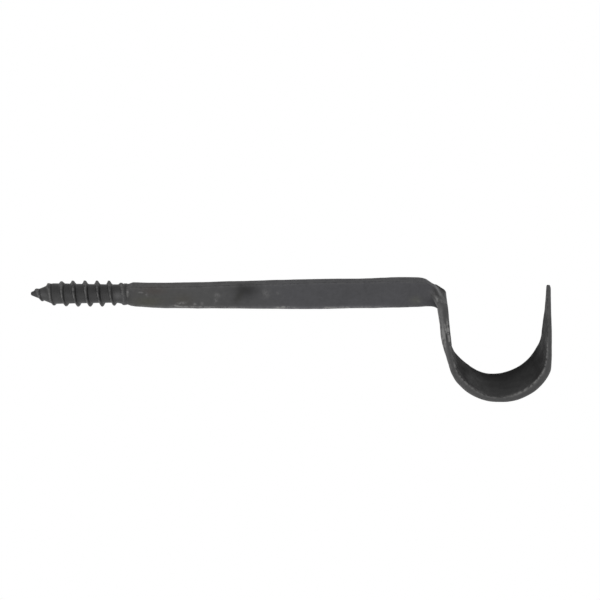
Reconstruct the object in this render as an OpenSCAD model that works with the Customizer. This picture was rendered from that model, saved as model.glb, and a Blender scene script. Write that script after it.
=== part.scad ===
// Forged curtain-pole hook: a wood screw, a flat shank on edge and an open cradle, in one piece.
// +X runs out from the wall along the shank, +Z is up and +Y runs along the pole.
// The origin is on the screw's axis, where the collar meets the face of the wall.

/* [Screw] */
// Outside diameter of the wood-screw thread
thread_d = 8; // [6.8:0.1:10]
// Diameter of the screw's core next to the collar
core_d = 5.7; // [4.6:0.1:6.4]
// Diameter of the core where the point begins
point_d = 6.2; // [4.6:0.1:6.6]
// Distance from one turn of the thread to the next
thread_pitch = 3.75; // [2.8:0.05:5]
// Width of a turn of the thread at its foot
thread_foot = 1.5; // [1:0.1:1.8]
// Width of the thread's blunt crest
crest_w = 0.3; // [0.2:0.05:0.5]
// Length from the face of the wall to the tip
screw_l = 30.2; // [24:0.1:45]
// Length of the gimlet point
point_l = 6.7; // [5:0.1:9]
// Diameter of the blunt tip
tip_d = 1; // [0.6:0.1:1.6]
// Distance from the tip to the start of the thread's foot
thread_start = 0.4; // [0.3:0.1:3]
// Distance from the face of the wall to the end of the thread, inside the collar
thread_end = 1.2; // [0.5:0.1:1.4]
// Length over which the thread's height dies away before its end
thread_runout = 4.3; // [2:0.1:8]
// Direction in which the thread starts, in degrees round the axis
thread_clock = 22; // [0:1:359]
// Diameter of the plain collar
collar_d = 6.5; // [6.2:0.1:8]
// Length of the collar
collar_l = 1.6; // [1.5:0.1:3]
// Length over which the round collar is drawn down into the flat shank
drawn_l = 3.5; // [2:0.1:6]

/* [Shank] */
// Height of the top edge above the screw's axis, at the wall
top_at_wall = 2.9; // [2.4:0.1:3.9]
// Height of the top edge above the screw's axis, at the corner
top_at_corner = 5.15; // [4.3:0.05:6.2]
// Depth of the bottom edge below the screw's axis, at the wall
bottom_at_wall = 3.6; // [3:0.1:4.2]
// Depth of the bottom edge a short way out from the wall
bottom_near_wall = 4.5; // [3.7:0.05:5.4]
// Distance from the wall to that place
near_wall = 13; // [8:0.5:20]
// Depth of the bottom edge at its lowest
bottom_at_belly = 4.85; // [4:0.05:5.8]
// Distance from the wall to the lowest place
belly = 55; // [40:1:70]
// Depth of the bottom edge at the corner
bottom_at_corner = 4.15; // [3.4:0.05:5]
// Thickness at the wall
shank_t_wall = 3.6; // [2.8:0.1:4.4]
// Thickness at the corner
shank_t_corner = 2.5; // [2:0.1:3.4]
// Radius of the rounded upper end
shank_end_r = 4.6; // [3.4:0.1:5]
// Width of the hammered bevels along the four long edges
shank_bevel = 0.4; // [0.1:0.05:0.6]

/* [Corner and neck] */
// Depth below the screw's axis of the bend in the strip's upper face
bend_depth = 1.45; // [0.9:0.05:2.3]
// Radius of that bend
bend_r = 2.1; // [1.5:0.1:2.9]
// Slope of the upper face before the bend, in degrees
bend_slope = 34.5; // [28:0.5:40]
// Length of that slope
slope_l = 6; // [5:0.1:7.2]
// Depth of the blunt edge at which the strip begins
strip_start_t = 0.8; // [0.5:0.1:1.2]
// How far that edge leans outwards
strip_start_lean = 0.2; // [0:0.1:0.4]
// Depth below the screw's axis of the heel, where the strip's outer face turns upright
heel_depth = 3.2; // [2.4:0.1:3.9]
// Width of the strip where it begins
neck_w = 9.1; // [7.6:0.1:11]
// Lean of the neck's inner face, in degrees from upright
neck_lean = 7.2; // [5:0.1:9]
// Lean of the neck's outer face, in degrees from upright
neck_lean_outside = 9.9; // [8:0.1:12]
// Width of the bevels along the neck's outer edges
neck_bevel = 1.1; // [0.3:0.1:1.3]

/* [Cradle] */
// Radius of the pole
pole_r = 14; // [11.5:0.1:17]
// Clearance between the pole and the seat
pole_clearance = 0.1; // [0.05:0.05:0.4]
// Distance from the face of the wall to the pole's axis
reach = 117.1; // [95:0.1:180]
// Depth of the pole's axis below the screw's axis
drop = 20.2; // [17:0.1:40]
// Width of the strip under the pole
strip_w = 14.2; // [11.8:0.1:17.1]
// Thickness of the strip under the pole
strip_t = 1.7; // [1.4:0.1:2.4]
// Shift of the seat's outside towards the free arm, which thickens the strip on that side
outside_shift = 0.3; // [0:0.05:0.5]
// Angle from the bottom of the seat to its end at the neck, in degrees
seat_to_neck = 49.7; // [46:0.1:53]
// Angle from the bottom of the seat to its end at the arm, in degrees
seat_to_arm = 59; // [55:0.5:64]
// Radius by which the arc above the seat at the neck exceeds the seat's
neck_arc_more = 8.2; // [6.5:0.1:10]
// The same on the strip's outside
neck_arc_more_outside = 13.8; // [11:0.1:17]
// Radius by which the arc above the seat at the arm exceeds the seat's
arm_arc_more = 2.3; // [1.5:0.1:3]
// Radius by which the arc on the outside there falls short of the seat's outside
arm_arc_less_outside = 1.6; // [0.5:0.1:2.5]
// Depth below the pole's axis at which the strip leaves its full width for the neck
neck_taper_depth = 4.9; // [3:0.1:7]
// Depth below the pole's axis at which the strip leaves its full width for the arm
arm_taper_depth = 3.8; // [1:0.1:5]

/* [Arm] */
// Height of the tip above the screw's axis
tip_height = 2.9; // [-2:0.1:6]
// Lean of the arm's inner face, in degrees from upright
arm_lean = 2.6; // [2.2:0.1:3]
// Lean of the arm's outer face, in degrees from upright
arm_lean_outside = 4.3; // [3.9:0.1:4.7]
// Width of the rounded tip
tip_w = 2.8; // [2.3:0.1:4]

/* [Hidden] */
$fn = 96;

iron = [0.27, 0.27, 0.28];
// How far a cutting or filling shape runs past what it meets.
past = 1;
// Straight steps in one turn of the thread.
turn_steps = 24;

// Radii of the core, [distance from the tip, radius].
core_run = [[0, tip_d / 2], [point_l, point_d / 2], [screw_l - collar_l, core_d / 2]];
// Radii of the thread's crest, in the same form.
crest_run = [
    [thread_start, tip_d / 2 + crest_w], [point_l - crest_w, point_d / 2 + crest_w],
    [2 * point_l, thread_d / 2], [screw_l - thread_end - thread_runout, thread_d / 2],
    [screw_l - thread_end, core_d / 2]
];

// Each face of the cradle is three arcs between two straight lines:
// [seat's centre, seat's radius, neck arc's radius, arm arc's radius,
//  angle to the neck, angle to the arm, lean of the neck, lean of the arm].
seat_centre = [reach, -drop];
seat_r = pole_r + pole_clearance;
outside_r = seat_r + strip_t;
inner_face = [
    seat_centre, seat_r, seat_r + neck_arc_more, seat_r + arm_arc_more,
    seat_to_neck, seat_to_arm, neck_lean, arm_lean
];
outer_face = [
    seat_centre + [outside_shift, 0], outside_r,
    outside_r + neck_arc_more_outside, outside_r - arm_arc_less_outside,
    seat_to_neck, seat_to_arm, neck_lean_outside, arm_lean_outside
];

// Direction at an angle from straight down, turning towards the free arm.
function down(a) = [sin(a), -cos(a)];
function neck_arc_centre(f) = f[0] - (f[2] - f[1]) * down(-f[4]);
function arm_arc_centre(f) = f[0] - (f[3] - f[1]) * down(f[5]);
function neck_foot(f) = neck_arc_centre(f) + f[2] * down(f[6] - 90);
function arm_foot(f) = arm_arc_centre(f) + f[3] * down(90 + f[7]);
function neck_at(f, z) = [neck_foot(f).x - (z - neck_foot(f).y) * tan(f[6]), z];
function arm_at(f, z) = [arm_foot(f).x - (z - arm_foot(f).y) * tan(f[7]), z];

// The corner, in the plane through the screw and the shank.
bend = neck_at(inner_face, -bend_depth);
slope = [-cos(bend_slope), sin(bend_slope)];
strip_start = bend + slope_l * slope;
strip_underside = strip_start + [strip_start_lean, -strip_start_t];
heel = neck_at(outer_face, -heel_depth);
bend_cut = bend_r * tan((90 - bend_slope - neck_lean) / 2);
bend_foot = neck_at(inner_face, -bend_depth - bend_cut * cos(neck_lean));
bend_centre = bend_foot - bend_r * [cos(neck_lean), sin(neck_lean)];
shank_end = strip_start.x + 2 * strip_start_lean;
shank_foot = neck_at(outer_face, -bottom_at_corner) + [past, 0];

neck_full_z = -drop - neck_taper_depth;
arm_full_z = -drop - arm_taper_depth;
strip_bottom = -drop - outside_r - past;
// Half the strip's width on the neck's side at a height.
function half_neck(z) = lookup(z, [[neck_full_z, strip_w / 2], [strip_start.y, neck_w / 2]]);
// Half the shank's thickness at a distance from the wall.
function half_shank(x) = lookup(x, [[0, shank_t_wall / 2], [shank_foot.x, shank_t_corner / 2]]);

// A shape drawn in X and Z, thickened evenly to both sides along Y.
module along_pole(width) {
    rotate([90, 0, 0]) linear_extrude(height = width, center = true) children();
}

// A shape drawn in Y and Z, thickened along X.
module along_shank(from, to) {
    translate([from, 0, 0]) rotate([90, 0, 90]) linear_extrude(height = to - from) children();
}

// A slice of a disc between two angles from straight down.
module slice(centre, r, from, to) {
    far = (r + past) / cos((to - from) / 2);
    translate(centre) intersection() {
        circle(r);
        polygon([[0, 0], far * down(from), far * down(to)]);
    }
}

// Everything within one face of the cradle, under a lid of points from the arm to the neck.
module within(face, lid) {
    polygon(concat(lid, [
        neck_foot(face), face[0] + face[1] * down(-face[4]),
        face[0] + face[1] * down(face[5]), arm_foot(face)
    ]));
    slice(neck_arc_centre(face), face[2], face[6] - 90, -face[4]);
    slice(face[0], face[1], -face[4], face[5]);
    slice(arm_arc_centre(face), face[3], face[5], 90 + face[7]);
}

// Side view of the strip, from the corner down the neck, round the pole and up the arm.
module strip_side() {
    difference() {
        union() {
            within(outer_face, [arm_at(outer_face, tip_height + past), bend_foot, heel]);
            polygon([
                bend_foot, bend + bend_cut * slope, strip_start, strip_underside, heel,
                neck_foot(outer_face), neck_foot(inner_face)
            ]);
        }
        within(inner_face, [
            arm_at(inner_face, tip_height + 2 * past), [bend_foot.x, tip_height + 2 * past],
            bend_foot
        ]);
    }
    slice(bend_centre, bend_r, 90 + neck_lean, 180 - bend_slope);
}

// An outline drawn on the +Y side only, closed by its own mirror image.
module mirrored(points) {
    polygon(concat(points, [for (i = [len(points) - 1:-1:0]) [-points[i].x, points[i].y]]));
}

// End view of the strip on the neck's side.
module neck_width() {
    mirrored([
        [strip_w / 2, strip_bottom], [strip_w / 2, neck_full_z],
        [neck_w / 2, strip_start.y], [neck_w / 2, strip_start.y + past]
    ]);
}

// End view of the strip on the arm's side.
module arm_width() {
    tip_centre = tip_height - tip_w / 2;
    mirrored([
        [strip_w / 2, strip_bottom], [strip_w / 2, arm_full_z], [tip_w / 2, tip_centre]
    ]);
    translate([0, tip_centre]) circle(tip_w / 2);
}

// Cuts a bevel along a straight edge that runs outwards or upwards, from one size to another.
module bevel(from, to, size_from, size_to) {
    run = to - from;
    translate(from) rotate(a = acos(run.z / norm(run)), v = cross([0, 0, 1], run))
        cylinder(h = norm(run), r1 = size_from, r2 = size_to, $fn = 4);
}

// The threaded screw is one skin. The ridge's four corners wind round the core in even steps,
// and a ring of as many points closes it at the tip and inside the collar.
module threaded() {
    corners = [-thread_foot / 2, -crest_w / 2, crest_w / 2, thread_foot / 2];
    last = floor((screw_l - thread_start - thread_foot - thread_end) / thread_pitch * turn_steps);
    function turned(along, r, step) = let (turn = thread_clock + step * 360 / turn_steps)
        [along - screw_l, r * cos(turn), r * sin(turn)];
    function ring(along, from) = [
        for (step = [from:from + turn_steps - 1]) turned(along, lookup(along, core_run), step)
    ];
    ridge = [
        for (step = [0:last])
            let (middle = thread_start + thread_foot / 2 + step * thread_pitch / turn_steps)
            for (k = [0:3]) turned(
                middle + corners[k],
                k == 0 || k == 3 ? lookup(middle + corners[k], core_run) : lookup(middle, crest_run),
                step
            )
    ];
    tip_ring = len(ridge);
    end_ring = tip_ring + turn_steps;
    // Numbers of the points: a corner of the ridge, and a point of each ring.
    function r(step, k) = 4 * step + k;
    function t(step) = tip_ring + step % turn_steps;
    function e(step) = end_ring + step % turn_steps;
    end = last - turn_steps;
    sides = [
        for (step = [0:last - 1], k = [0:2])
            [r(step, k), r(step + 1, k), r(step + 1, k + 1), r(step, k + 1)],
        for (step = [0:end - 1])
            [r(step, 3), r(step + 1, 3), r(step + 1 + turn_steps, 0), r(step + turn_steps, 0)],
        for (step = [0:turn_steps - 2])
            [t(step), t(step + 1), r(step + 1, 0), r(step, 0)],
        for (step = [1:turn_steps - 1])
            [r(end + step, 3), r(end + step + 1, 3), e(step + 1), e(step)]
    ];
    // The sector in which the ridge's blunt start stands, and the one in which it ends.
    first_apex = r(turn_steps - 1, 0);
    first_rim = [t(turn_steps - 1), t(0), each [for (k = [0:3]) r(0, k)], r(turn_steps, 0)];
    last_apex = r(end + 1, 3);
    last_rim = [e(1), e(0), each [for (k = [3:-1:0]) r(last, k)], r(end, 3)];
    polyhedron(concat(ridge, ring(0, 0), ring(screw_l - thread_end / 2, end)), concat(
        [for (f = sides) each [[f[0], f[2], f[1]], [f[0], f[3], f[2]]]],
        [for (i = [0:len(first_rim) - 2]) [first_apex, first_rim[i + 1], first_rim[i]]],
        [for (i = [0:len(last_rim) - 2]) [last_apex, last_rim[i], last_rim[i + 1]]],
        [[for (step = [0:turn_steps - 1]) t(step)]],
        [[for (step = [turn_steps - 1:-1:0]) e(step)]]
    ));
}

module screw() {
    threaded();
    rotate([0, 90, 0]) rotate_extrude() polygon([
        [0, -collar_l - collar_d / 2], [collar_d / 2, -collar_l], [collar_d / 2, 0],
        [shank_t_corner / 2, drawn_l], [0, drawn_l]
    ]);
}

module shank() {
    top = [[0, top_at_wall], [shank_end - shank_end_r, top_at_corner]];
    bottom = [
        [0, -bottom_at_wall], [near_wall, -bottom_near_wall], [belly, -bottom_at_belly], shank_foot
    ];
    round_end = [shank_end - shank_end_r, top_at_corner - shank_end_r];
    // The upper bevels run on straight, and so fade out where the end turns down.
    top_edge = [top[0], top[1] + (top[1] - top[0]) * shank_end_r / top[1].x];
    difference() {
        intersection() {
            along_pole(shank_t_wall + past) {
                polygon(concat(top, [round_end, [shank_end, round_end.y]], [
                    for (i = [len(bottom) - 1:-1:0]) bottom[i]
                ]));
                slice(round_end, shank_end_r, 90, 180);
            }
            linear_extrude(height = 4 * top_at_corner, center = true) polygon([
                for (end = [[0, 1], [shank_foot.x, 1], [shank_foot.x, -1], [0, -1]])
                    [end.x, end.y * half_shank(end.x)]
            ]);
        }
        for (side = [-1, 1], edge = [top_edge, bottom], i = [0:len(edge) - 2])
            bevel(
                [edge[i].x, side * half_shank(edge[i].x), edge[i].y],
                [edge[i + 1].x, side * half_shank(edge[i + 1].x), edge[i + 1].y],
                shank_bevel, shank_bevel
            );
    }
}

module strip() {
    low = neck_foot(outer_face);
    difference() {
        intersection() {
            along_pole(strip_w + 2 * past) strip_side();
            union() {
                along_shank(strip_start.x - past, reach + past) neck_width();
                along_shank(reach, reach + 2 * outside_r) arm_width();
            }
        }
        for (side = [-1, 1])
            bevel(
                [low.x, side * half_neck(low.y), low.y],
                [heel.x, side * half_neck(heel.y), heel.y], 0, neck_bevel
            );
    }
}

module hook() {
    color(iron) {
        screw();
        shank();
        strip();
    }
}

hook();
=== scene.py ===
import math
import bmesh
import bpy
import numpy as np
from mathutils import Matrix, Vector, noise
from mathutils.kdtree import KDTree


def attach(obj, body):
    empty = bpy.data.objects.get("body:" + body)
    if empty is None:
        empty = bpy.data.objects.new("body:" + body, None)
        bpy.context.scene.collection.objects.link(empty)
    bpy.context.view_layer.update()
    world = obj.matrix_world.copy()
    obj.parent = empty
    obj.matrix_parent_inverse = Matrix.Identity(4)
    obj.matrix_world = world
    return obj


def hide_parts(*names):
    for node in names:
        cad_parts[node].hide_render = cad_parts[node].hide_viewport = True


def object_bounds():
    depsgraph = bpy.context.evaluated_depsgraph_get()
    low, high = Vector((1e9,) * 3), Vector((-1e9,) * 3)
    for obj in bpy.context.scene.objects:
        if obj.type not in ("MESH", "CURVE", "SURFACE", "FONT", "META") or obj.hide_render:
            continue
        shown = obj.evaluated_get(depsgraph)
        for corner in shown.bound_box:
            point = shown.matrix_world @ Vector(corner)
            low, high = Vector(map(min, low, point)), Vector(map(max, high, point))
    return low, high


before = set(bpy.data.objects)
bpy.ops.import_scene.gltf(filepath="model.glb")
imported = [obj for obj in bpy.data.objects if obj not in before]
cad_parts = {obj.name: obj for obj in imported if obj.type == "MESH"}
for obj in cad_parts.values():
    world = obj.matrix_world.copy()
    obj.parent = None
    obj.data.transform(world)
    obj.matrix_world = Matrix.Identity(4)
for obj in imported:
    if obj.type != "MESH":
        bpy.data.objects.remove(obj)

# Lengths are in millimetres and angles in degrees until a mesh is made. The camera, the corner's
# box and the studio are in metres. The frame is the CAD model's: X out from the wall along the
# shank, Y along the pole, Z up. The near side is the one of minus Y, which the camera sees.
MM = 1000

cad_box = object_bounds()
LOW, HIGH = (np.array(corner) * MM for corner in cad_box)

# ---------------------------------------------------------------- camera
EYE_DISTANCE, EYE_DOWN = 0.4125, math.radians(30)
AIM = Vector((0.0536, 0, -0.0023))
SENSOR, LENS, NEAREST = 36, 2.2 * 36, 0.01


def add_camera():
    data = bpy.data.cameras.new("camera")
    data.sensor_width = SENSOR
    data.lens = LENS
    data.clip_start = NEAREST
    camera = bpy.data.objects.new("camera", data)
    bpy.context.scene.collection.objects.link(camera)
    towards = Vector((0, math.cos(EYE_DOWN), -math.sin(EYE_DOWN)))
    camera.location = AIM - EYE_DISTANCE * towards
    camera.rotation_euler = towards.to_track_quat("-Z", "Y").to_euler()
    bpy.context.scene.camera = camera


# ---------------------------------------------------------------- helpers
def down(a):
    """Direction at an angle from straight down, turning towards the free arm."""
    a = np.radians(a)
    return np.stack([np.sin(a), -np.cos(a)], -1)


def read(table, at):
    """Value of a table at a place, on straight lines between its points."""
    return float(np.interp(at, *table))


def share(v):
    return min(max(v, 0), 1)


def smooth(f):
    return f * f * (3 - 2 * f)


def fade_in(v, start, over):
    """0 up to the start, then evenly up to 1 over the length given."""
    return np.clip((v - start) / over, 0, 1)


def fade_out(v, end, over):
    """0 from the end on, and evenly up to 1 over the length given before it."""
    return np.clip((end - v) / over, 0, 1)


# ---------------------------------------------------------------- outlines in X and Z
SEAT = np.array([117.1, -20.2])
# The seat's arc runs between these angles from straight down. The neck's and the arm's go on from it.
SEAT_FROM, SEAT_TO = -49.7, 59
TIP = 2.9
STRIP_W, NECK_W, TIP_W = 14.2, 9.1, 2.8
TIP_CENTRE = TIP - TIP_W / 2
# Heights between which the neck and the arm grow from their narrow ends to the strip's full width.
NECK_FULL_Z, NECK_TOP_Z, ARM_FULL_Z = -25.1, 2.0, -24.0


class Face:
    """One face of the cradle: a line, three arcs and a line."""

    def __init__(self, centre, r, neck_r, arm_r, neck_lean, arm_lean):
        self.centre = np.array(centre)
        self.r, self.neck_r, self.arm_r = r, neck_r, arm_r
        self.neck_lean, self.arm_lean = neck_lean, arm_lean
        self.neck_c = self.centre - (neck_r - r) * down(SEAT_FROM)
        self.arm_c = self.centre - (arm_r - r) * down(SEAT_TO)
        self.neck_foot = self.neck_c + neck_r * down(neck_lean - 90)
        self.arm_foot = self.arm_c + arm_r * down(90 + arm_lean)

    def neck_at(self, z):
        foot = self.neck_foot
        return np.array([foot[0] - (z - foot[1]) * math.tan(math.radians(self.neck_lean)), z])

    def arm_at(self, z):
        foot = self.arm_foot
        return np.array([foot[0] - (z - foot[1]) * math.tan(math.radians(self.arm_lean)), z])

    def arcs(self, n_neck, n_seat, n_arm):
        return (
            self.neck_c + self.neck_r * down(np.linspace(self.neck_lean - 90, SEAT_FROM, n_neck)),
            self.centre + self.r * down(np.linspace(SEAT_FROM, SEAT_TO, n_seat)),
            self.arm_c + self.arm_r * down(np.linspace(SEAT_TO, 90 + self.arm_lean, n_arm)),
        )


INNER = Face(SEAT, r=14.1, neck_r=22.3, arm_r=16.4, neck_lean=7.2, arm_lean=2.6)
OUTER = Face(SEAT + [0.3, 0], r=15.8, neck_r=29.6, arm_r=14.2, neck_lean=9.9, arm_lean=4.3)

# The slope at the corner: its length and its angle, and the height and radius of the bend below it.
SLOPE_LENGTH, SLOPE_ANGLE = 6.6, 36.5
BEND_Z, BEND_R = -1.75, 2.3
# The outer face starts this far from the inner one, and its heel is between these heights.
UNDER_START = [0.25, -0.85]
HEEL_Z, HEEL_FOOT_Z = -3.2, -4.3
# The length over which the tip's end is rounded, and the share of its thickness that is left.
TIP_ROUND, TIP_LEFT = 0.5, 0.35
# Points along each stretch.
N_SLOPE, N_BEND, N_HEEL, N_NECK, N_ARC, N_SEAT, N_ARM, N_UP = 22, 9, 5, 34, 30, 76, 24, 56

# The smith's hand: how far each face stands off the true line, by the angle round the seat.
HAND_INNER = (
    [-142, -137, -133, -129, -122, -115, -108, -103, -97, -75, -68, -61, -47, -38, -28, -15, -5, 10, 20,
     35, 50, 65, 80, 104, 118, 130, 137, 143, 148],
    [0.18, 0.31, 0.30, 0.24, 0.18, 0.25, 0.25, 0.08, 0.22, 0.16, 0.08, 0.28, 0.60, 0.66, 0.46, 0.16, 0.0,
     0.05, 0.15, 0.22, 0.24, 0.22, 0.15, 0.25, 0.15, -0.05, 0.08, 0.20, 0.32])
HAND_OUTER = (
    [-140, -130, -127, -124, -121, -113, -104, -98, -93, -84, -73, -60, -45, -30, -5, 10, 20, 45, 60,
     75, 88, 103, 112, 120, 132, 138, 150],
    [0.05, 0.05, 0.10, 0.12, 0.14, 0.12, 0.08, -0.08, -0.20, -0.18, 0.22, 0.40, 0.22, 0.16, 0.14, 0.32,
     0.40, 0.37, 0.33, 0.30, 0.12, 0.20, 0.30, 0.33, 0.25, 0.12, 0.14])
# More metal along the near edge of the outer face.
HAND_NEAR = (
    [-126, -121, -116.5, -113, -110, -106, -102, -98, -93],
    [0, 0.12, 0.40, 0.61, 0.66, 0.60, 0.36, 0.16, 0])


def round_seat(p):
    """Angle round the seat, from straight down, of points in X and Z."""
    return np.degrees(np.arctan2(p[:, 0] - SEAT[0], -(p[:, 1] - SEAT[1])))


def strip_outline():
    """Matched points along the strip's inner and outer faces, and how far each is from the start."""
    lean, steep = math.radians(INNER.neck_lean), math.radians(SLOPE_ANGLE)
    bend = INNER.neck_at(BEND_Z)
    slope = np.array([-math.cos(steep), math.sin(steep)])
    start = bend + SLOPE_LENGTH * slope
    under = start + UNDER_START
    heel, heel_foot = OUTER.neck_at(HEEL_Z), OUTER.neck_at(HEEL_FOOT_Z)
    cut = BEND_R * math.tan((math.pi / 2 - steep - lean) / 2)
    bend_foot = INNER.neck_at(bend[1] - cut * math.cos(lean))
    bend_c = bend_foot - BEND_R * np.array([math.cos(lean), math.sin(lean)])
    bend_arc = bend_c + BEND_R * down(np.linspace(180 - SLOPE_ANGLE, 90 + INNER.neck_lean, N_BEND))
    tip_ease = np.sin(np.linspace(0, math.pi / 2, N_UP))

    def rise(face):
        return np.array([face.arm_at(face.arm_foot[1] + (TIP - face.arm_foot[1]) * f) for f in tip_ease])

    def line(a, b, n):
        return np.linspace(a, b, n)[:-1]

    inner_neck, inner_seat, inner_arm = INNER.arcs(N_ARC, N_SEAT, N_ARM)
    outer_neck, outer_seat, outer_arm = OUTER.arcs(N_ARC, N_SEAT, N_ARM)
    inner = np.concatenate([
        line(start, bend_arc[0], N_SLOPE), bend_arc[:-1], line(bend_arc[-1], INNER.neck_foot, N_NECK),
        inner_neck[:-1], inner_seat[:-1], inner_arm[:-1], rise(INNER),
    ])
    outer = np.concatenate([
        line(under, heel, N_SLOPE + N_BEND - N_HEEL), line(heel, heel_foot, N_HEEL),
        line(heel_foot, OUTER.neck_foot, N_NECK),
        outer_neck[:-1], outer_seat[:-1], outer_arm[:-1], rise(OUTER),
    ])
    across = (outer - inner) / np.linalg.norm(outer - inner, axis=1)[:, None]
    inner = inner - across * np.interp(round_seat(inner), *HAND_INNER)[:, None]
    outer = outer + across * np.interp(round_seat(outer), *HAND_OUTER)[:, None]
    from_start = np.linalg.norm(inner - start, axis=1)
    # The tip's end is rounded.
    left = fade_out(inner[:, 1], TIP, TIP_ROUND)
    end = TIP_LEFT + (1 - TIP_LEFT) * np.sqrt(1 - (1 - left) ** 2)
    keep = np.where(inner[:, 0] > SEAT[0], end, 1)[:, None]
    middle = (inner + outer) / 2
    return middle + (inner - middle) * keep, middle + (outer - middle) * keep, from_start


# The strip's half width at its start, and where and over what length it flares to the neck's.
START_HALF, FLARE_FROM, FLARE_LENGTH = 1.0, 0.8, 2.5
# The least square of the half width at the tip's rounded end.
CAP_LEAST = 0.05


def neck_half(z):
    return np.interp(z, [NECK_FULL_Z, NECK_TOP_Z], [STRIP_W / 2, NECK_W / 2])


def arm_half(z):
    return np.interp(z, [ARM_FULL_Z, TIP_CENTRE], [STRIP_W / 2, TIP_W / 2])


def half_width(p, from_start):
    x, z = p[:, 0], p[:, 1]
    flare = fade_in(from_start, FLARE_FROM, FLARE_LENGTH)
    neck = START_HALF + (neck_half(z) - START_HALF) * np.sqrt(1 - (1 - flare) ** 2)
    arm = arm_half(z)
    cap = np.sqrt(np.clip((TIP_W / 2) ** 2 - (z - TIP_CENTRE) ** 2, CAP_LEAST, None))
    return np.where(x < SEAT[0], neck, np.where(z > TIP_CENTRE, np.minimum(arm, cap), arm))


# ---------------------------------------------------------------- lofting
# The largest radius of an arris, as a share of the section's smaller side, and how far its wear goes.
LARGEST_RADIUS, ARRIS_REACH = 0.48, 0.3


def rounded(w, t, r, counts):
    """Section points (y from -w to w, depth from 0 to t), with radii r at depth t and at depth 0.

    Also returns how near each point is to an arris. The counts are of points along the width, round
    an arris and along the depth.
    """
    n_w, n_c, n_t = counts
    limit = LARGEST_RADIUS * min(t, 2 * w)
    deep, shallow = (min(v, limit) for v in r)
    out, arris = [], []

    def line(a, b, n):
        length = math.hypot(b[0] - a[0], b[1] - a[1])
        for k in range(n):
            f = k / n
            out.append((a[0] + (b[0] - a[0]) * f, a[1] + (b[1] - a[1]) * f))
            arris.append(math.exp(-min(f, 1 - f) * length / ARRIS_REACH))

    def corner(c, r, a0):
        for k in range(n_c):
            a = math.radians(a0 + 90 * k / n_c)
            out.append((c[0] + r * math.cos(a), c[1] + r * math.sin(a)))
            arris.append(1.0)

    line((w - deep, t), (-(w - deep), t), n_w)
    corner((-(w - deep), t - deep), deep, 90)
    line((-w, t - deep), (-w, shallow), n_t)
    corner((-(w - shallow), shallow), shallow, 180)
    line((-(w - shallow), 0), (w - shallow, 0), n_w)
    corner((w - shallow, shallow), shallow, 270)
    line((w, shallow), (w, t - deep), n_t)
    corner((w - deep, t - deep), deep, 0)
    return out, arris


def loft(rings):
    """Points of rings of the same number of points, and faces over them, closed at both ends."""
    n, faces = len(rings[0]), []
    for i in range(len(rings) - 1):
        for k in range(n):
            a, b = i * n + k, i * n + (k + 1) % n
            faces.append((a, b, b + n, a + n))
    faces.append(tuple(range(n - 1, -1, -1)))
    faces.append(tuple(range((len(rings) - 1) * n, len(rings) * n)))
    return [p for ring in rings for p in ring], faces


# ---------------------------------------------------------------- shank
# Heights of the shank's top and underside and its half thickness, by the distance from the wall.
SHANK_TOP = (
    [0, 0.8, 1.6, 3, 6.4, 12, 16, 21.4, 26, 31, 41, 49, 56, 60, 68, 76, 81.5, 86, 90.5, 91.7, 92.7, 93.9,
     94.5, 95.3, 96.3, 97.6],
    [2.55, 2.9, 3.2, 3.2, 3.15, 3.23, 3.25, 3.31, 3.52, 3.7, 4.06, 4.28, 4.6, 4.66, 4.78, 4.95, 5.14,
     5.14, 5.0, 4.85, 4.55, 3.8, 3.3, 2.8, 1.9, -0.5])
SHANK_LOW = (
    [0, 2.3, 7, 12, 16.7, 21.4, 26.4, 34.8, 41, 50.5, 60, 69, 77, 84, 89, 93, 94.6, 95.6, 96.2, 96.7,
     97.6],
    [-3.8, -4.35, -4.7, -4.95, -4.88, -4.9, -4.8, -4.85, -4.94, -5.05, -5.1, -4.84, -4.78, -4.42, -4.12,
     -3.98, -4.08, -4.35, -4.75, -5.1, -2.5])
SHANK_HALF = ([0, 7, 38, 80, 87, 91, 94, 97.6], [1.75, 1.65, 1.48, 1.27, 1.6, 1.6, 1.3, 0.9])
# Radii of the lower and the upper arrises.
SHANK_LOW_R = ([0, 4, 14, 30, 80, 90], [1.5, 1.6, 1.3, 0.8, 0.7, 0.4])
SHANK_TOP_R = ([76, 82], [0.35, 0.18])
# Stretches of the shank: where each starts and ends, and its number of sections.
SHANK_RUNS = ((-1.4, 1.6, 16), (1.6, 90.5, 250), (90.5, 97.6, 48))
SHANK_COUNTS = (34, 6, 9)
# The shank's end goes over into the round collar, over this length before this place.
COLLAR_R, COLLAR_FROM, COLLAR_OVER = 3.1, 0.9, 1.5
# Keeps a point in the middle of a section from a division by 0.
TINY = 1e-9


def shank_mesh():
    rings, arris = [], []
    runs = [np.linspace(*run) for run in SHANK_RUNS]
    for x in np.concatenate([run[:-1] for run in runs[:-1]] + runs[-1:]):
        top, low, half = read(SHANK_TOP, x), read(SHANK_LOW, x), read(SHANK_HALF, x)
        # Here a section's w is half the height and its depth is the thickness.
        tall, thick = (top - low) / 2, 2 * half
        r_low, r_top = read(SHANK_LOW_R, x), read(SHANK_TOP_R, x)
        lower, near = rounded(tall, thick, (r_low, r_low), SHANK_COUNTS)
        upper, _ = rounded(tall, thick, (r_top, r_top), SHANK_COUNTS)
        middle = (top + low) / 2
        into = smooth(float(fade_out(x, COLLAR_FROM, COLLAR_OVER)))
        ring = []
        for low_point, top_point in zip(lower, upper):
            up, depth = top_point if low_point[0] > 0 else low_point
            side = half - depth
            to_round = math.hypot(side, up) + TINY
            y = side + (side * COLLAR_R / to_round - side) * into
            z = (middle + up) * (1 - into) + up * COLLAR_R / to_round * into
            ring.append((x, y, z))
        rings.append(ring)
        arris += near
    return *loft(rings), arris


# ---------------------------------------------------------------- strip
STRIP_COUNTS = (40, 5, 8)
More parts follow.
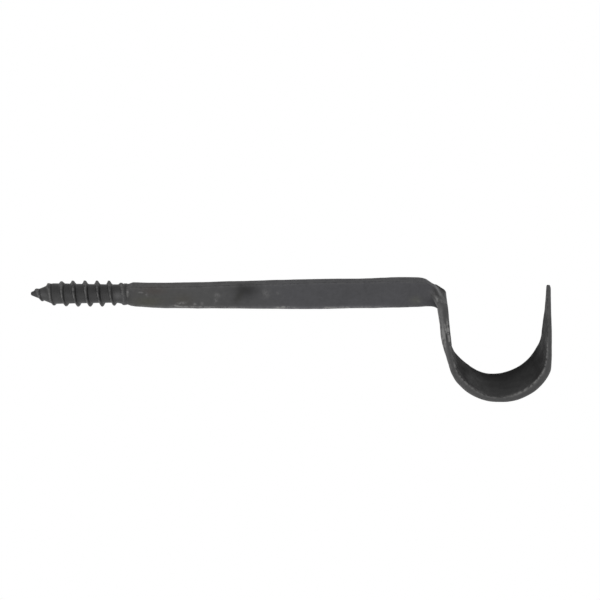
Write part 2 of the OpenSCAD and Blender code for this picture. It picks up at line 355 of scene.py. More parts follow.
# Radii of the arrises: of the neck's outer face by height, of the inner face by the distance from
# the start, and of the outer face past the neck, which ends this far before the seat's middle.
NECK_ARRIS_R = ([-27, -19, -8, -3.5, 1], [0.3, 0.9, 1.25, 1.1, 0.3])
INNER_ARRIS_R = ([1.6, 3.0], [0.7, 0.2])
OUTER_ARRIS_R, NECK_TO_SEAT = 0.3, 8
# The near side narrows towards the corner, by height, and the inner face twists with it.
NARROW, TWIST = 0.14, 0.13
NARROWING = ([-9, -2], [0, NARROW])
# The shank's top runs out over the slope as a ridge. It goes this far from the start and is level
# over this half width. Each side falls over the strip's half width less RUN_LESS, or over
# RUN_LEAST. The ridge is sunk by RUN_SUNK, and RUN_CURVE is the power that curves its sides.
RUN_OUT, RUN_HALF, RUN_LESS, RUN_LEAST, RUN_SUNK, RUN_CURVE = 5.4, 1.2, 1.3, 0.2, 0.1, 1.3
# The near edge is upset on the inside of the cradle: by how much, and where by height.
UPSET, UPSET_PART = 0.16, ([-34, -20, -12], [1, 1, 0])
# A point counts as on the inner face from this depth below it, over this length.
INSIDE_DEPTH, INSIDE_OVER = 0.25, 0.2


def strip_ring(inner, outer, w_in, w_out, from_start, turn):
    """One section of the strip, how near each point is to an arris, and how much on the inner face."""
    thick = float(np.linalg.norm(inner - outer))
    middle_z = (inner[1] + outer[1]) / 2
    on_neck = inner[0] < SEAT[0] - NECK_TO_SEAT
    r_outer = read(NECK_ARRIS_R, middle_z) if on_neck else OUTER_ARRIS_R
    w = (w_in + w_out) / 2
    section, arris = rounded(w, thick, (read(INNER_ARRIS_R, from_start), r_outer), STRIP_COUNTS)
    near_hand, narrow = read(HAND_NEAR, turn), read(NARROWING, inner[1])
    upset_part = read(UPSET_PART, inner[1])
    shank_above = read(SHANK_TOP, inner[0]) - inner[1] if from_start < RUN_OUT else 0
    away = (inner - outer) / thick
    ring, inside = [], []
    for y, depth in section:
        f = depth / thick
        p = outer + (inner - outer) * f
        y = y * (w_out + (w_in - w_out) * f) / w
        side = max(abs(y) - RUN_HALF, 0) / max(w_in - RUN_LESS, RUN_LEAST)
        rise = max(shank_above - RUN_SUNK, 0) * f * max(1 - side, 0) ** RUN_CURVE
        y *= 1 - narrow * share(-y / w)
        twist = TWIST * narrow / NARROW * f * y / w
        off = UPSET * f * upset_part * share(-y / w_in) ** 4
        off -= near_hand * (1 - f) * share(-y / w) ** 2
        ring.append((p[0] + away[0] * off + twist, y, p[1] + away[1] * off + rise))
        inside.append(share((depth - thick + INSIDE_DEPTH) / INSIDE_OVER))
    return ring, arris, inside


def strip_mesh():
    inner, outer, from_start = strip_outline()
    w_in, w_out = half_width(inner, from_start), half_width(outer, from_start)
    rings, arris, inside = [], [], []
    for row in zip(inner, outer, w_in, w_out, from_start, round_seat(outer)):
        ring, ring_arris, ring_inside = strip_ring(*row)
        rings.append(ring)
        arris += ring_arris
        inside += ring_inside
    return *loft(rings), arris, inside


# ---------------------------------------------------------------- screw
# Here distances run from the screw's tip towards the wall.
SCREW_TIP, PITCH, START_TURN = -30.17, 3.75, math.radians(22)
TURN_STEPS = 96
# Radii of the core and of the thread's crest.
CORE = (
    [0, 0.3, 0.8, 6.7, 11.0, 14.7, 18.4, 22.0, 28.4, 29.0, 29.9, 30.4, 32.0],
    [0.42, 0.62, 0.82, 3.24, 3.14, 3.04, 2.97, 2.92, 2.9, 3.2, 3.18, 1.4, 1.2])
CREST = (
    [0.4, 2.2, 4.1, 6.0, 9.8, 13.4, 24.6, 27.0, 28.9],
    [0.9, 1.95, 2.65, 3.65, 3.9, 4.08, 4.08, 3.6, 3.15])
# Stretches of the core: where each starts and ends, and its number of sections.
CORE_RUNS = ((0, 1, 8), (1.25, 28, 92), (28.1, 30.6, 30), (30.9, 32, 5))
# The core ends under the thread here, and the edge of the collar is here, with this half width.
CORE_END, COLLAR_EDGE, COLLAR_EDGE_HALF = 28.4, 29.1, 0.2
# The thread's section: the distance along the screw, and the height as a share of the crest's.
# Below 0 the height is in millimetres, so that the ridge's base lies inside the core.
RIDGE = (
    (-1.05, -0.6), (-0.84, -0.16), (-0.64, 0.1), (-0.47, 0.36), (-0.35, 0.66), (-0.24, 0.88), (-0.1, 1.0),
    (0.13, 1.0), (0.24, 0.88), (0.33, 0.66), (0.43, 0.36), (0.57, 0.1), (0.78, -0.16), (1.0, -0.6))
RIDGE_FROM, RIDGE_STEPS, RIDGE_LEAST = 1.14, 7 * TURN_STEPS + 37, 0.02
# The ridge is fullest on this side of the screw, and wanders there, by the distance from the tip.
FULL_SIDE = math.radians(60)
WANDER = ([5.5, 8.8, 12], [0.05, 0.35, 0.1])
# Its spread towards the wall and towards the tip: even all round, and more or less with the side.
WALL_SPREAD, WALL_FULLER, TIP_SPREAD, TIP_FULLER = 1.36, 0.6, 0.91, 0.19
# On the other side it is sharper, by this much above this height.
SHARPER, SHARPER_ABOVE = 1.4, 0.6
# The flank towards the wall gets painted shade below this height.
SHADED_FLANK_BELOW = 0.7


def core_mesh():
    turns = np.linspace(0, 2 * math.pi, TURN_STEPS, endpoint=False)
    along = np.concatenate([np.linspace(*run) for run in CORE_RUNS])
    rings = [
        [(SCREW_TIP + x, r * math.cos(a), r * math.sin(a)) for a in turns]
        for x, r in zip(along, np.interp(along, *CORE))
    ]
    arris = [math.exp(-((x - COLLAR_EDGE) / COLLAR_EDGE_HALF) ** 2) for x in along for a in turns]
    return *loft(rings), arris


def ridge_mesh():
    rings, arris, shaded_flank = [], [], []
    for i in range(RIDGE_STEPS):
        x, turn = RIDGE_FROM + i * PITCH / TURN_STEPS, START_TURN + i * 2 * math.pi / TURN_STEPS
        crest = read(CREST, x)
        full = math.cos(turn - FULL_SIDE)
        wander = read(WANDER, x) * max(full, 0)
        ring = []
        for dx, h in reversed(RIDGE):
            dx *= 1 - SHARPER * max(-full, 0) * max(h - SHARPER_ABOVE, 0)
            spread = WALL_SPREAD + WALL_FULLER * full if dx > 0 else TIP_SPREAD + TIP_FULLER * full
            dx = dx * spread + wander
            core = read(CORE, min(x + dx, CORE_END))
            r = core + h * max(crest - core, RIDGE_LEAST) if h > 0 else core + h
            ring.append((SCREW_TIP + x + dx, r * math.cos(turn), r * math.sin(turn)))
            arris.append(max(0.0, h) ** 3)
            shaded_flank.append(1.0 if dx > 0 and h < SHADED_FLANK_BELOW else 0.0)
        rings.append(ring)
    return *loft(rings), arris, shaded_flank


# ---------------------------------------------------------------- surface
# Single bumps: middle, half sizes and height.
BUMPS = (
    ((94.3, -1.4, 1.6), (1.4, 1.2, 1.4), 0.8),
    ((94.3, 1.4, 1.6), (1.4, 1.2, 1.4), 0.5),
    ((-1.2, -1.0, -3.0), (1.5, 2.5, 1.2), 0.45),
    ((-1.6, -1.0, -3.2), (0.4, 2.5, 1.0), 0.15),
)
# Layers of the forged surface: height, width of its swellings, and where its noise starts.
LAYERS = ((0.07, 9.0, (0, 0, 0)), (0.05, 4.0, (7, 3, 1)), (0.02, 1.7, (1, 9, 4)))
# How far inside the CAD's box every point stays.
BOX_MARGIN = 0.003


def unevenness(p, amount):
    """Forged surface: how far a point stands off."""
    v = Vector(p)
    return amount * sum(high * noise.noise(v / wide + Vector(start)) for high, wide, start in LAYERS)


def spot(x, z, at, size, turn=0.0):
    """A soft patch: its middle and its half sizes in X and Z, turned by an angle."""
    c, s = math.cos(math.radians(turn)), math.sin(math.radians(turn))
    u, v = (x - at[0]) * c + (z - at[1]) * s, -(x - at[0]) * s + (z - at[1]) * c
    return np.exp(-((u / size[0]) ** 2) - (v / size[1]) ** 2)


# How strongly an arris is rubbed, and a ridge's crest, and the most that anything is rubbed.
ARRIS_RUB, CREST_RUB, MOST_RUB = 0.35, 0.55, 1.7
# The near side starts over this length from the middle plane.
NEAR_OVER = 0.5

# The screw is darker than the rest, with paler patches: middle, half sizes and strength.
SCREW_TINT = 0.52
SCREW_PATCHES = (
    ((-2.8, 0.9), (1.4, 1.1), 2.2), ((-26.2, 0.9), (1.2, 1.0), 1.2), ((-21.8, -0.8), (1.1, 1.1), 0.9))
# Painted shade on the thread's flank towards the wall: how much darker its colour, and how much duller its
# reflection.
FLANK_SHADE_DARK, FLANK_SHADE_DULLING = 0.25, 0.4

# Patches on the shank's near side: middle, half sizes, turn, and the tint in red, green and blue.
PATCHES = (
    ((8.3, 1.9), (3.6, 1.5), 0, (0.98, 0.80, 0.70)),
    ((6.5, -1.9), (4.6, 1.7), 0, (1.05, 1.03, 0.72)),
    ((17.0, -1.5), (3.0, 2.4), 0, (1.02, 0.95, 0.80)),
    ((36.9, 2.4), (3.7, 2.4), -14, (0.35, 0.35, 0.35)),
    ((34.6, -0.2), (1.2, 2.8), -25, (0.5, 0.49, 0.44)),
    ((5.2, 1.3), (0.5, 0.35), 0, (0.6, 0.6, 0.6)),
    ((89.5, -1.5), (1.7, 1.5), 0, (1.42, 1.45, 1.15)),
    ((90.6, -2.0), (0.5, 0.4), 0, (1.6, 1.6, 1.5)),
    # This patch is painted shade in the crease where the strip leaves the shank.
    ((96.0, -1.4), (0.8, 1.6), 30, (0.72, 0.72, 0.72)),
    ((95.1, 1.8), (0.9, 2.0), 35, (1.45, 1.45, 1.45)),
)
# Rubbed bright marks on the shank's near side: middle, half sizes, turn and strength.
MARKS = (
    ((0.1, 1.4), (0.32, 1.3), 0, 1.5), ((4.2, 1.35), (0.75, 0.22), 0, 1),
    ((5.9, 0.9), (0.25, 0.8), 15, 0.85), ((16.6, -2.5), (1.4, 0.4), 10, 1),
    ((15.6, -3.5), (1.6, 0.25), -8, 1.3), ((20.8, -2.9), (0.6, 0.5), 40, 0.85),
    ((22.9, -2.8), (0.4, 0.7), -20, 0.75), ((27.4, -1.5), (0.4, 1.0), -20, 0.68),
    ((27.9, 0.3), (0.8, 0.7), 0, 0.51), ((19.5, -3.85), (5.0, 0.22), 0, 1.3),
    ((25.5, -4.0), (2.0, 0.2), 0, 1), ((31.5, -4.2), (3.0, 0.3), 0, 0.68),
    ((49.0, -4.1), (1.5, 0.35), 0, 2.6), ((51.0, -4.2), (0.7, 0.3), 0, 3),
    ((46.6, -4.2), (0.8, 0.3), 0, 0.85), ((43.0, 0.9), (1.2, 1.5), 0, 0.37),
    ((46.8, 1.0), (0.5, 0.5), 0, 0.42), ((63.0, -4.3), (1.6, 0.3), 0, 2.2),
    ((67.6, -4.25), (1.3, 0.3), 0, 1.8), ((75.0, -4.1), (4.0, 0.25), 0, 0.85),
    ((90.5, -3.8), (2.4, 0.22), 0, 0.85),
)
# The dark stain on the shank: middle, half sizes, turn and soot.
STAIN, STAIN_SOOT = ((36.9, 2.0), (3.8, 3.2), -14), 0.4
# The shank's tint near the wall, and what is added to it from here on, over this length.
SHANK_TINT, SHANK_ADDED = np.array([0.95, 0.95, 0.94]), np.array([0.02, 0.02, 0.14])
ADDED_FROM, ADDED_OVER = 25, 25
# Up the shank's side the rubbing of arrises falls towards 0 at HIGH_RUB_Z above the underside, over
# HIGH_RUB_OVER, but not below the share HIGH_RUB.
HIGH_RUB, HIGH_RUB_Z, HIGH_RUB_OVER = 0.45, 1, 0.5
# A painted highlight above the underside's near edge, where its rounding catches light from below: height
# over the underside, half width and strength.
BAND_HEIGHT, BAND_HALF, BAND_LIGHT = 0.75, 0.55, 0.8
# Next to the corner the shank's top has painted shade, as a duller reflection: how much, a length, and how
# many of these lengths below the top it starts; it is full one length higher up.
TOP_SHADE_DULLING, TOP_SHADE_OVER, TOP_SHADE_PART = 0.12, 0.3, 1.6

# Scratches on the neck's near side, with a strength, and dark nicks between them.
SCRATCHES = (
    ((99.9, -10.9), (0.22, 2.9), 9, 4.5), ((98.55, -11.4), (0.2, 1.8), 10, 5),
    ((98.15, -13.3), (0.2, 2.0), 5, 4.5), ((99.0, -9.6), (0.16, 1.3), 14, 3.5),
    ((98.9, -14.2), (0.18, 1.2), 12, 3), ((95.85, 0.3), (0.35, 1.1), 28, 1.2),
    ((97.6, -0.5), (0.45, 0.35), 0, 0.7),
)
NICKS = (
    ((99.35, -12.4), (0.22, 1.6), 9), ((100.6, -12.2), (0.24, 2.8), 9), ((97.7, -11.4), (0.15, 1.4), 9))
NICK_DARK, NICK_SOOT = 0.8, 0.6
# How much of a wall the cradle is, and how bright its near arris is worn, by the angle round the seat.
WALL = ([-50, -20, 30, 60], [1, 0, 0, 1])
WORN = ([-100, -70, -40, 5, 25, 110, 130], [0.6, 0.3, 0.3, 0.0, 0.55, 0.6, 0])
# Arrises are worn out to this distance from the seat's middle.
WORN_TO, WORN_OVER = 15.2, 0.3
# Soot and painted shade inside the cradle, as a duller reflection: everywhere, and what is added on its
# walls or deep on the far side.
CRADLE_SOOT_AND_SHADE, CRADLE_ADDED = 0.55, 0.45
# How dark the darker scale and the painted shade make it deep inside: everywhere, more on a wall, more on
# the neck's wall, which is past this angle, and more on the far side. And how dark it is high up.
DEEP_DARK, WALL_DARK, NECK_WALL_DARK, NECK_WALL_TURN, FAR_DARK, HIGH_DARK = 0.45, 0.1, 0.1, -20, 0.3, 0.2
# Painted shade on the slope at the corner, as a duller reflection and a darker colour, more on its far
# side.
SLOPE_SHADE_DULLING, SLOPE_SHADE_DARK, FAR_SLOPE_SHADE_DULLING, FAR_SLOPE_SHADE_DARK = 0.6, 0.1, 0.35, 0.4
# The neck's outside corner: its place at this height, and how far it moves with the height.
NECK_CORNER_X, NECK_CORNER_Z, NECK_CORNER_LEAN = 96.45, -3.2, 0.176
# The painted highlight beside it, where the rounded corner catches the light: its distance from it, half
# width and strength. Then how dark the painted shade makes the near side past it, and the outside face.
NECK_BAND_X, NECK_BAND_HALF, NECK_BAND_LIGHT = 0.7, 0.42, 1.1
NECK_SIDE_SHADE, NECK_FACE_SHADE = 0.18, 0.55
# The near edge of the strip: where it starts and how long it takes, as shares of the half width.
FRONT_FROM, FRONT_OVER = 0.74, 0.12
FRONT_DARK = 0.13


def near_side(y):
    return np.clip(-y / NEAR_OVER, 0, 1)


def paint_core(p, arris, _):
    """Tint of each point with any painted light and shade, how rubbed it is, and its soot and painted
    shade.
    """
    x, y, z = p.T
    tint_and_light = SCREW_TINT * np.ones((len(p), 3))
    for at, size, amount in SCREW_PATCHES:
        tint_and_light *= (1 + amount * spot(x, z, at, size) * near_side(y))[:, None]
    return tint_and_light, arris * ARRIS_RUB, np.zeros(len(p))


def paint_ridge(p, arris, shaded_flank):
    tint_and_light, _, _ = paint_core(p, arris, shaded_flank)
    # Painted shade on the flank towards the wall.
    tint_and_light *= (1 - FLANK_SHADE_DARK * shaded_flank)[:, None]
    return tint_and_light, arris * CREST_RUB, FLANK_SHADE_DULLING * shaded_flank


def paint_shank(p, arris, _):
    x, y, z = p.T
    near = near_side(y)
    above = z - np.interp(x, *SHANK_LOW)
    from_top = z - np.interp(x, *SHANK_TOP)
    rub = arris * ARRIS_RUB
    rub *= np.clip((HIGH_RUB_Z - above) / HIGH_RUB_OVER, HIGH_RUB, 1)
    # Painted highlight where the rounded lower edge catches light from below.
    painted_highlight = np.exp(-(((above - BAND_HEIGHT) / BAND_HALF) ** 2)) * near
    painted_highlight = painted_highlight * fade_in(x, start=2, over=2) * fade_out(x, end=84, over=6)
    tint_and_light = np.ones((len(p), 3)) * (1 + BAND_LIGHT * painted_highlight)[:, None]
    # Painted shade dulls the shank's top next to the corner; the stain's soot is the iron's own.
    high = np.clip(from_top / TOP_SHADE_OVER + TOP_SHADE_PART, 0, 1)
    soot_and_shade = STAIN_SOOT * spot(x, z, *STAIN) * near + TOP_SHADE_DULLING * fade_in(x, start=91, over=2.5) * high
    tint_and_light *= SHANK_TINT + fade_in(x, ADDED_FROM, ADDED_OVER)[:, None] * SHANK_ADDED
    for at, size, turn, colour in PATCHES:
        tint_and_light *= 1 + (spot(x, z, at, size, turn) * near)[:, None] * (np.array(colour) - 1)
    for at, size, turn, amount in MARKS:
        rub = rub + amount * spot(x, z, at, size, turn) * near
    return tint_and_light, rub, soot_and_shade


def cradle_shade(x, y, z, turn, inside):
    """Soot and painted shade inside the cradle, as a duller reflection, and how much light its darker
    scale and painted shade leave: least on the walls and deep on the far side.
    """
    far = fade_in(y, start=-STRIP_W / 2, over=STRIP_W)
    cradle = inside * np.where(x < SEAT[0], fade_in(-z, start=4, over=11), 1)
    deep = fade_in(-z, start=7, over=8)
    wall = np.interp(turn, *WALL)
    added = CRADLE_ADDED * wall
    soot_and_shade = cradle * (CRADLE_SOOT_AND_SHADE + added + (CRADLE_ADDED - added) * far * deep)
    neck_wall = NECK_WALL_DARK * (turn < NECK_WALL_TURN) * wall
    dark = DEEP_DARK + WALL_DARK * wall + neck_wall + FAR_DARK * far
    return soot_and_shade, 1 - cradle * (deep * dark + (1 - deep) * HIGH_DARK)


def slope_shade(x, y, inside):
    """Painted shade on the slope at the corner: how much duller its reflection is, and how much light is
    left.
    """
    slope = inside * fade_out(x, end=99.6, over=0.8) * fade_in(y, start=-4, over=1.2)
    far_slope = slope * fade_in(y, start=-1, over=1)
    soot_and_shade = SLOPE_SHADE_DULLING * slope + FAR_SLOPE_SHADE_DULLING * far_slope
    return soot_and_shade, 1 - SLOPE_SHADE_DARK * slope - FAR_SLOPE_SHADE_DARK * far_slope


def neck_shades(x, y, z):
    """Painted highlight of the band at the neck's outside corner, and painted shade on the near side past
    it and on the outside face.
    """
    neck = fade_in(x, start=95.5, over=1) * fade_out(x, end=104, over=2)
    neck = neck * fade_out(z, end=-1.5, over=2) * fade_in(z, start=-21, over=6)
    depth = x - (NECK_CORNER_X - (z - NECK_CORNER_Z) * NECK_CORNER_LEAN)
    painted_highlight = np.exp(-(((depth - NECK_BAND_X) / NECK_BAND_HALF) ** 2))
    painted_highlight = painted_highlight * fade_in(-y, start=2.5, over=1.5) * neck
    return (
        1 + NECK_BAND_LIGHT * painted_highlight,
        1 - NECK_SIDE_SHADE * fade_in(depth, start=1.3, over=0.3) * neck,
        1 - NECK_FACE_SHADE * fade_out(depth, end=0.35, over=0.3) * neck,
    )


def paint_strip(p, arris, inside):
    x, y, z = p.T
    turn = round_seat(p[:, [0, 2]])
    rub = arris * ARRIS_RUB
    # Soot and painted shade in the cradle, and painted shade on the slope at the corner.
    soot_and_shade, cradle_light = cradle_shade(x, y, z, turn, inside)
    slope_shade_dulling, slope_light = slope_shade(x, y, inside)
    soot_and_shade = np.maximum(soot_and_shade, slope_shade_dulling)
    tint_and_light = np.ones((len(p), 3))
    for light in (cradle_light, slope_light, *neck_shades(x, y, z)):
        tint_and_light *= light[:, None]
    half = np.where(x < SEAT[0], neck_half(z), arm_half(z))
    front = fade_in(-y, start=FRONT_FROM * half, over=FRONT_OVER * half)
    for at, size, lean, amount in SCRATCHES:
        rub = rub + amount * spot(x, z, at, size, lean) * front
    for at, size, lean in NICKS:
        dark = spot(x, z, at, size, lean) * front
        tint_and_light *= (1 - NICK_DARK * dark)[:, None]
        soot_and_shade = np.maximum(soot_and_shade, NICK_SOOT * dark)
    # The near arris is worn bright. The near edge is a little darker from the seat to the arm.
    from_seat = np.hypot(x - SEAT[0], z - SEAT[1])
    worn = fade_in(-y, start=3.5, over=1) * arris * fade_out(from_seat, WORN_TO, WORN_OVER)
    rub = rub + worn * np.interp(turn, *WORN)
    tint_and_light *= (1 - FRONT_DARK * (1 - inside) * fade_in(x, start=112, over=4) * front)[:, None]
    return tint_and_light, rub, soot_and_shade


def mesh_piece(name, paint, amount, points, faces, arris, inside=0):
    """A closed piece of the bar with its forged surface, and as attributes its tint with painted light and
    shade, its rub, and its soot and painted shade.
    """
    p = np.array(points)
    data = bpy.data.meshes.new(name)
    data.from_pydata([tuple(v) for v in p / MM], [], faces)
    data.update()
    normals = np.zeros(len(p) * 3)
    data.vertex_normals.foreach_get("vector", normals)
    off = np.array([unevenness(v, amount) for v in p])
    for at, size, height in BUMPS:
        off += height * np.exp(-(((p - np.array(at)) / np.array(size)) ** 2).sum(axis=1))
    p = np.clip(p + normals.reshape(-1, 3) * off[:, None], LOW + BOX_MARGIN, HIGH - BOX_MARGIN)
    data.vertices.foreach_set("co", (p / MM).ravel())
    tint_and_light, rub, soot_and_shade = paint(p, np.asarray(arris, float), np.asarray(inside, float))
    for key, values in (("rub", np.clip(rub, 0, MOST_RUB)), ("soot_and_shade", soot_and_shade)):
        data.attributes.new(key, "FLOAT", "POINT").data.foreach_set("value", values.astype(np.float32))
    colour = np.concatenate([tint_and_light, np.ones((len(p), 1))], axis=1).astype(np.float32)
    data.attributes.new("tint_and_light", "FLOAT_COLOR", "POINT").data.foreach_set("color", colour.ravel())
    data.update()
    piece = bpy.data.objects.new(name, data)
    bpy.context.scene.collection.objects.link(piece)
    return piece


# ---------------------------------------------------------------- corner
# The corner, where the shank runs into the strip, in metres: from and to along X, and its lowest Z.
CORNER_FROM, CORNER_TO, CORNER_LOW = 0.086, 0.103, -0.011
# How sharp a hollow melts, in radians, how far from it in millimetres, how many times, and how far
# each time.
MELT_ANGLE, MELT_REACH, MELT_TIMES, MELT_STEP = 0.25, 2.4, 60, 0.5
# It fades downwards: its share is the height above MELT_LOW by MELT_OVER, and MELT_LEAST at least.
MELT_LOW, MELT_OVER, MELT_LEAST = -3.4, 1.5, 0.2


def corner_weights(mesh):
    """How much each vertex is eased, and the ends of every edge that has a vertex in the corner."""
    corner = {v.index for v in mesh.verts if CORNER_FROM < v.co.x < CORNER_TO and v.co.z > CORNER_LOW}
    crease = {
        v.index for e in mesh.edges if e.verts[0].index in corner and e.verts[1].index in corner
        and e.calc_face_angle_signed(0) < -MELT_ANGLE for v in e.verts
    }
    mesh.verts.ensure_lookup_table()
    tree = KDTree(len(crease))
    for index in sorted(crease):
        tree.insert(mesh.verts[index].co, index)
    tree.balance()
    weight = np.zeros(len(mesh.verts))
    for index in sorted(corner):
        co = mesh.verts[index].co
        near = 1 - tree.find(co)[2] * MM / MELT_REACH
        if near > 0:
            weight[index] = smooth(near) * min(max((co.z * MM - MELT_LOW) / MELT_OVER, MELT_LEAST), 1)
    ends = np.array([
        [v.index for v in e.verts] for e in mesh.edges
        if e.verts[0].index in corner or e.verts[1].index in corner
    ])
    return weight, ends


def melt_corner(data):
    """Melt the crease where the shank runs into the strip, with the colours along it."""
    mesh = bmesh.new()
    mesh.from_mesh(data)
    weight, ends = corner_weights(mesh)
    mesh.free()
    n = len(weight)
    count = np.maximum(np.bincount(ends.ravel(), minlength=n), 1)
    layers = [(data.vertices, "co", 3)]
    layers += [(data.attributes[name].data, "value", 1) for name in ("rub", "soot_and_shade")]
    layers += [(data.attributes["tint_and_light"].data, "color", 4)]
    for layer, key, width in layers:
        flat = np.zeros(n * width, np.float32)
        layer.foreach_get(key, flat)
        values = flat.reshape(n, width)
        for _ in range(MELT_TIMES):
            total = np.zeros_like(values)
            np.add.at(total, ends[:, 0], values[ends[:, 1]])
            np.add.at(total, ends[:, 1], values[ends[:, 0]])
            values = values + MELT_STEP * weight[:, None] * (total / count[:, None] - values)
        layer.foreach_set(key, values.astype(np.float32).ravel())
    data.update()


# ---------------------------------------------------------------- material
# Blackened iron in two broad tones, its grain, and the bare metal that rubbing shows.
DARK_IRON, PALE_IRON = (0.027, 0.0268, 0.0272), (0.035, 0.0348, 0.0353)
GRAIN_IRON, BARE_IRON = (0.058, 0.057, 0.058), (0.15, 0.148, 0.146)
GRAIN_AMOUNT = 0.3
# Noise of the tones, the grain, the rubbing, the roughness and the bump: scale, detail, roughness.
TONE_NOISE, GRAIN_NOISE, RUB_NOISE = (70, 3, 0.5), (900, 4, 0.6), (1000, 3, 0.6)
SHEEN_NOISE, BUMP_NOISE = (300, 3, 0.6), (1500, 4, 0.6)
# The part of each noise that is used.
TONE_PART, GRAIN_PART, RUB_PART, SHEEN_PART = (0.3, 0.7), (0.35, 0.7), (0.36, 0.58), (0.3, 0.7)
ROUGHNESS = (0.45, 0.62)
# How strong the reflection is where clean, and where fully dulled by soot and painted shade.
SPECULAR_CLEAN, SPECULAR_SOOT_AND_SHADE = 0.5, 0.03
BUMP_STRENGTH, BUMP_METRES = 0.25, 0.0001


def iron():
    material = bpy.data.materials.new("blackened_iron")
    material.use_nodes = True
    tree = material.node_tree
    tree.nodes.clear()

    def node(kind, **values):
        made = tree.nodes.new(kind)
        for key, value in values.items():
            setattr(made, key, value)
        return made

    def put(socket, v):
        if hasattr(v, "links"):
            tree.links.new(v, socket)
        elif isinstance(v, tuple):
            socket.default_value = v + (1,)
        else:
            socket.default_value = v

    place = node("ShaderNodeTexCoord").outputs["Object"]

    def cloud(scale, detail, rough):
        made = node("ShaderNodeTexNoise")
        for key, v in (("Scale", scale), ("Detail", detail), ("Roughness", rough), ("Vector", place)):
            put(made.inputs[key], v)
        return made.outputs["Fac"]

    def ramp(value, low, high, to_low=0.0, to_high=1.0):
        made = node("ShaderNodeMapRange")
        values = {"Value": value, "From Min": low, "From Max": high, "To Min": to_low, "To Max": to_high}
        for key, v in values.items():
            put(made.inputs[key], v)
        return made.outputs["Result"]

    def times(a, b):
        made = node("ShaderNodeMath", operation="MULTIPLY")
        put(made.inputs[0], a)
        put(made.inputs[1], b)
        return made.outputs[0]

    def mix(fac, a, b, blend="MIX"):
        made = node("ShaderNodeMix", data_type="RGBA", blend_type=blend)
        for key, v in (("Factor", fac), ("A", a), ("B", b)):
            sockets = [s for s in made.inputs if s.name == key and (s.type == "RGBA") == (key != "Factor")]
            put(sockets[0], v)
        return [s for s in made.outputs if s.type == "RGBA"][0]

    def painted(name, output="Fac"):
        return node("ShaderNodeAttribute", attribute_name=name).outputs[output]

    out = node("ShaderNodeOutputMaterial")
    shader = node("ShaderNodeBsdfPrincipled")
    tree.links.new(shader.outputs[0], out.inputs[0])
    tone = ramp(cloud(*TONE_NOISE), *TONE_PART)
    grain = times(ramp(cloud(*GRAIN_NOISE), *GRAIN_PART), GRAIN_AMOUNT)
    rub = times(painted("rub"), ramp(cloud(*RUB_NOISE), *RUB_PART))
    colour = mix(tone, DARK_IRON, PALE_IRON)
    colour = mix(grain, colour, GRAIN_IRON)
    # The tint holds painted highlights and painted shade as well as the iron's own patches and stains.
    colour = mix(1.0, colour, painted("tint_and_light", "Color"), "MULTIPLY")
    colour = mix(rub, colour, BARE_IRON)
    put(shader.inputs["Base Color"], colour)
    put(shader.inputs["Roughness"], ramp(cloud(*SHEEN_NOISE), *SHEEN_PART, *ROUGHNESS))
    # Soot, and the painted shade in the cradle, on the slope, on the shank's top and on the thread's
    # flank, make the reflection duller.
    specular = ramp(painted("soot_and_shade"), 0, 1, SPECULAR_CLEAN, SPECULAR_SOOT_AND_SHADE)
    put(shader.inputs["Specular IOR Level"], specular)
    bump = node("ShaderNodeBump")
    put(bump.inputs["Strength"], BUMP_STRENGTH)
    put(bump.inputs["Distance"], BUMP_METRES)
    put(bump.inputs["Height"], cloud(*BUMP_NOISE))
    put(shader.inputs["Normal"], bump.outputs[0])
    return material


# ---------------------------------------------------------------- studio, in metres
FLOOR_HALF, FLOOR_Z = 12.0, -0.16
# The world's strength low down and overhead, and the heights on a unit ball between which it changes.
WORLD_LOW, WORLD_HIGH, WORLD_FROM, WORLD_TO = 1.0, 0.75, 0.02, 0.3
KEY_PLACE, KEY_AIM, KEY_SIZE, KEY_POWER = (-0.5, -0.8, 0.1), (0.05, 0, -0.01), 0.6, 1.8


def add_floor():
    data = bpy.data.meshes.new("floor")
    corners = [(-1, -1), (1, -1), (1, 1), (-1, 1)]
    data.from_pydata([(x * FLOOR_HALF, y * FLOOR_HALF, FLOOR_Z) for x, y in corners], [], [(0, 1, 2, 3)])
    floor = bpy.data.objects.new("floor", data)
    bpy.context.scene.collection.objects.link(floor)
    material = bpy.data.materials.new("pale_floor")
    material.use_nodes = True
    shader = material.node_tree.nodes["Principled BSDF"]
    shader.inputs["Base Color"].default_value = (0, 0, 0, 1)
    shader.inputs["Specular IOR Level"].default_value = 0
    shader.inputs["Emission Color"].default_value = (1, 1, 1, 1)
    shader.inputs["Emission Strength"].default_value = 1.0
    data.materials.append(material)


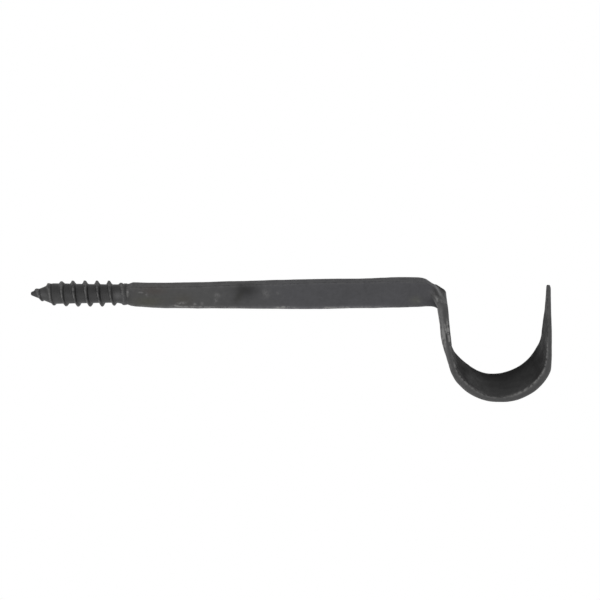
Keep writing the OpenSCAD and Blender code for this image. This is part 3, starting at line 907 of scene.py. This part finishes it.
def add_light(name, place, aim, size, power):
    data = bpy.data.lights.new(name, "AREA")
    data.shape, data.size, data.energy = "DISK", size, power
    light = bpy.data.objects.new(name, data)
    light.location = place
    light.rotation_euler = (Vector(aim) - Vector(place)).to_track_quat("-Z", "Y").to_euler()
    bpy.context.scene.collection.objects.link(light)


def add_world():
    world = bpy.data.worlds.new("studio")
    world.use_nodes = True
    tree = world.node_tree
    split = tree.nodes.new("ShaderNodeSeparateXYZ")
    ramp = tree.nodes.new("ShaderNodeMapRange")
    tree.links.new(tree.nodes.new("ShaderNodeTexCoord").outputs["Generated"], split.inputs[0])
    tree.links.new(split.outputs["Z"], ramp.inputs["Value"])
    values = {"From Min": WORLD_FROM, "From Max": WORLD_TO, "To Min": WORLD_LOW, "To Max": WORLD_HIGH}
    for key, v in values.items():
        ramp.inputs[key].default_value = v
    background = tree.nodes["Background"]
    background.inputs["Color"].default_value = (1, 1, 1, 1)
    tree.links.new(ramp.outputs["Result"], background.inputs["Strength"])
    bpy.context.scene.world = world


# ---------------------------------------------------------------- the hook
# How uneven each piece is. The screw is less so than the forged bar.
BAR_UNEVEN, CORE_UNEVEN, RIDGE_UNEVEN = 1.0, 0.8, 0.6


def add_hook():
    made = [
        mesh_piece("strip", paint_strip, BAR_UNEVEN, *strip_mesh()),
        mesh_piece("shank", paint_shank, BAR_UNEVEN, *shank_mesh()),
        mesh_piece("core", paint_core, CORE_UNEVEN, *core_mesh()),
        mesh_piece("ridge", paint_ridge, RIDGE_UNEVEN, *ridge_mesh()),
    ]
    hook = made[0]
    for other in made[1:]:
        union = hook.modifiers.new("union", "BOOLEAN")
        union.operation, union.solver, union.object = "UNION", "MANIFOLD", other
    data = bpy.data.meshes.new_from_object(hook.evaluated_get(bpy.context.evaluated_depsgraph_get()))
    for piece in made:
        bpy.data.objects.remove(piece)
    melt_corner(data)
    hook = bpy.data.objects.new("forged_hook", data)
    bpy.context.scene.collection.objects.link(hook)
    data.polygons.foreach_set("use_smooth", [True] * len(data.polygons))
    data.materials.clear()
    data.materials.append(iron())
    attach(hook, "root")
    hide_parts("hook")


bpy.context.scene.view_settings.view_transform = "Standard"
add_camera()
add_hook()
add_floor()
add_world()
add_light("key", KEY_PLACE, KEY_AIM, KEY_SIZE, KEY_POWER)
